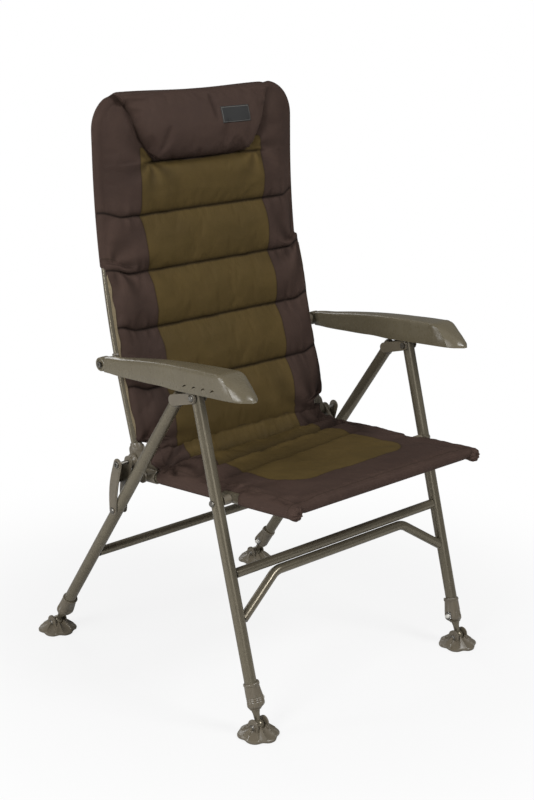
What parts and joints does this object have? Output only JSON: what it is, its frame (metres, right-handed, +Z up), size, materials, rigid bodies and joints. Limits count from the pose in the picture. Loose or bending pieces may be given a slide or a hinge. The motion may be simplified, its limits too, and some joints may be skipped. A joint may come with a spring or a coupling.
{
  "type": "carp fishing chair",
  "caption": "Folding high back fishing armchair with a padded olive cover, notched armrests for reclining, telescopic legs and swivelling mud feet.",
  "frame": {"origin": "on the floor under the centre of the chair", "axes": "+Z up, +X to the right of someone who faces the chair, -Y the way the sitter faces"},
  "size_m": [0.698, 0.7504, 1.196],
  "materials": {
    "painted_tube": "satin grey-green metallic powder coat",
    "moulded_plastic": "matte moulded nylon",
    "armrest_plastic": "matte moulded nylon",
    "zinc_steel": "zinc plated",
    "button_plastic": "matte",
    "olive_fabric": "brushed woven polyester",
    "brown_fabric": "woven polyester"
  },
  "bodies": {
    "seat": {"seat_tube_left": "painted_tube", "seat_tube_right": "painted_tube", "seat_tube_plug_left": "moulded_plastic", "seat_tube_plug_right": "moulded_plastic", "seat_knuckle_left": "moulded_plastic", "seat_knuckle_right": "moulded_plastic", "seat_sleeve_left": "brown_fabric", "seat_sleeve_right": "brown_fabric", "seat_spacer_left": "moulded_plastic", "seat_spacer_right": "moulded_plastic", "seat_pivot_bolt_left": "zinc_steel", "seat_pivot_bolt_right": "zinc_steel", "seat_pad": "olive_fabric"},
    "hinge": {"back_hinge_bolt_left": "zinc_steel", "back_hinge_bolt_right": "zinc_steel"},
    "back": {"back_frame_tube": "painted_tube", "back_tube_foot_left": "moulded_plastic", "back_tube_foot_right": "moulded_plastic", "arm_bracket_left": "moulded_plastic", "arm_bracket_right": "moulded_plastic", "back_pad": "olive_fabric", "headrest_pillow": "brown_fabric", "back_sleeve": "brown_fabric"},
    "front_legs": {"front_leg_tube_left": "painted_tube", "front_leg_tube_right": "painted_tube", "front_cross_tube": "painted_tube", "front_brace_tube": "painted_tube", "front_collar_left": "moulded_plastic", "front_collar_right": "moulded_plastic", "top_pivot_bolt_left": "zinc_steel", "top_pivot_bolt_right": "zinc_steel"},
    "rear_legs": {"rear_leg_tube_left": "painted_tube", "rear_leg_tube_right": "painted_tube", "rear_leg_bracket_left": "painted_tube", "rear_leg_bracket_right": "painted_tube", "rear_cross_tube": "painted_tube", "rear_collar_left": "moulded_plastic", "rear_collar_right": "moulded_plastic"},
    "arm_pin_left": {"arm_screw_left": "zinc_steel"},
    "armrest_left": {"armrest_left": "armrest_plastic"},
    "link_left": {"link_left": "moulded_plastic", "link_pin_left": "zinc_steel", "link_top_screw_left": "zinc_steel"},
    "front_inner_leg_left": {"front_inner_leg_left": "painted_tube"},
    "front_foot_left": {"front_foot_left": "moulded_plastic"},
    "front_lock_button_left": {"front_lock_button_left": "button_plastic"},
    "rear_inner_leg_left": {"rear_inner_leg_left": "painted_tube"},
    "rear_foot_left": {"rear_foot_left": "moulded_plastic"},
    "rear_lock_button_left": {"rear_lock_button_left": "button_plastic"},
    "arm_pin_right": {"arm_screw_right": "zinc_steel"},
    "armrest_right": {"armrest_right": "armrest_plastic"},
    "link_right": {"link_right": "moulded_plastic", "link_pin_right": "zinc_steel", "link_top_screw_right": "zinc_steel"},
    "front_inner_leg_right": {"front_inner_leg_right": "painted_tube"},
    "front_foot_right": {"front_foot_right": "moulded_plastic"},
    "front_lock_button_right": {"front_lock_button_right": "button_plastic"},
    "rear_inner_leg_right": {"rear_inner_leg_right": "painted_tube"},
    "rear_foot_right": {"rear_foot_right": "moulded_plastic"},
    "rear_lock_button_right": {"rear_lock_button_right": "button_plastic"}
  },
  "joints": [
    {"name": "fold", "type": "hinge", "parent": "seat", "child": "hinge", "pos_m": [0, 0.09404, 0.4605], "axis": [1, 0, 0], "range_deg": [0, 85]},
    {"name": "recline", "type": "hinge", "parent": "hinge", "child": "back", "pos_m": [0, 0.09404, 0.4605], "axis": [1, 0, 0], "range_deg": [-30, 0]},
    {"name": "front_legs_fold", "type": "hinge", "parent": "seat", "child": "front_legs", "pos_m": [0, -0.19496, 0.455], "axis": [1, 0, 0], "range_deg": [0, 85]},
    {"name": "rear_legs_fold", "type": "hinge", "parent": "front_legs", "child": "rear_legs", "pos_m": [0, -0.13696, 0.656], "axis": [1, 0, 0], "range_deg": [-48.23, 0]},
    {"name": "arm_pin_left_turn", "type": "hinge", "parent": "back", "child": "arm_pin_left", "pos_m": [-0.307, 0.15204, 0.6615], "axis": [1, 0, 0], "range_deg": [-85, 0]},
    {"name": "armrest_left_turn", "type": "hinge", "parent": "arm_pin_left", "child": "armrest_left", "pos_m": [-0.307, 0.15204, 0.6615], "axis": [1, 0, 0], "range_deg": [0, 22.8]},
    {"name": "link_left_turn", "type": "hinge", "parent": "rear_legs", "child": "link_left", "pos_m": [-0.307, 0.1115, 0.35471], "axis": [1, 0, 0], "range_deg": [-123.9, 0]},
    {"name": "front_leg_left_slide", "type": "slide", "parent": "front_legs", "child": "front_inner_leg_left", "axis": [0, -0.2807, -0.9598], "range_m": [0, 0.1]},
    {"name": "front_foot_left_swivel", "type": "hinge", "parent": "front_inner_leg_left", "child": "front_foot_left", "pos_m": [-0.307, -0.32265, 0.021], "axis": [1, 0, 0], "range_deg": [-30, 30]},
    {"name": "front_button_left_press", "type": "slide", "parent": "front_legs", "child": "front_lock_button_left", "axis": [-1, 0, 0], "range_m": [0, 0.003], "stiffness_N_per_m": 400},
    {"name": "rear_leg_left_slide", "type": "slide", "parent": "rear_legs", "child": "rear_inner_leg_left", "axis": [0, 0.5577, -0.83], "range_m": [0, 0.1]},
    {"name": "rear_foot_left_swivel", "type": "hinge", "parent": "rear_inner_leg_left", "child": "rear_foot_left", "pos_m": [-0.307, 0.33574, 0.021], "axis": [1, 0, 0], "range_deg": [-30, 30]},
    {"name": "rear_button_left_press", "type": "slide", "parent": "rear_legs", "child": "rear_lock_button_left", "axis": [-1, 0, 0], "range_m": [0, 0.003], "stiffness_N_per_m": 400},
    {"name": "arm_pin_right_turn", "type": "hinge", "parent": "back", "child": "arm_pin_right", "pos_m": [0.307, 0.15204, 0.6615], "axis": [1, 0, 0], "range_deg": [-85, 0]},
    {"name": "armrest_right_turn", "type": "hinge", "parent": "arm_pin_right", "child": "armrest_right", "pos_m": [0.307, 0.15204, 0.6615], "axis": [1, 0, 0], "range_deg": [0, 22.8]},
    {"name": "link_right_turn", "type": "hinge", "parent": "rear_legs", "child": "link_right", "pos_m": [0.307, 0.1115, 0.35471], "axis": [1, 0, 0], "range_deg": [-123.9, 0]},
    {"name": "front_leg_right_slide", "type": "slide", "parent": "front_legs", "child": "front_inner_leg_right", "axis": [0, -0.2807, -0.9598], "range_m": [0, 0.1]},
    {"name": "front_foot_right_swivel", "type": "hinge", "parent": "front_inner_leg_right", "child": "front_foot_right", "pos_m": [0.307, -0.32265, 0.021], "axis": [1, 0, 0], "range_deg": [-30, 30]},
    {"name": "front_button_right_press", "type": "slide", "parent": "front_legs", "child": "front_lock_button_right", "axis": [1, 0, 0], "range_m": [0, 0.003], "stiffness_N_per_m": 400},
    {"name": "rear_leg_right_slide", "type": "slide", "parent": "rear_legs", "child": "rear_inner_leg_right", "axis": [0, 0.5577, -0.83], "range_m": [0, 0.1]},
    {"name": "rear_foot_right_swivel", "type": "hinge", "parent": "rear_inner_leg_right", "child": "rear_foot_right", "pos_m": [0.307, 0.33574, 0.021], "axis": [1, 0, 0], "range_deg": [-30, 30]},
    {"name": "rear_button_right_press", "type": "slide", "parent": "rear_legs", "child": "rear_lock_button_right", "axis": [1, 0, 0], "range_m": [0, 0.003], "stiffness_N_per_m": 400}
  ],
  "couplings": [
    {"joint": "front_legs_fold", "follows": "fold", "ratio": 1},
    {"joint": "rear_legs_fold", "follows": "fold", "ratio": -0.56731},
    {"joint": "arm_pin_left_turn", "follows": "fold", "ratio": -1},
    {"joint": "armrest_left_turn", "follows": "recline", "ratio": -0.76},
    {"joint": "link_left_turn", "follows": "fold", "ratio": -1.4576},
    {"joint": "arm_pin_right_turn", "follows": "fold", "ratio": -1},
    {"joint": "armrest_right_turn", "follows": "recline", "ratio": -0.76},
    {"joint": "link_right_turn", "follows": "fold", "ratio": -1.4576}
  ]
}
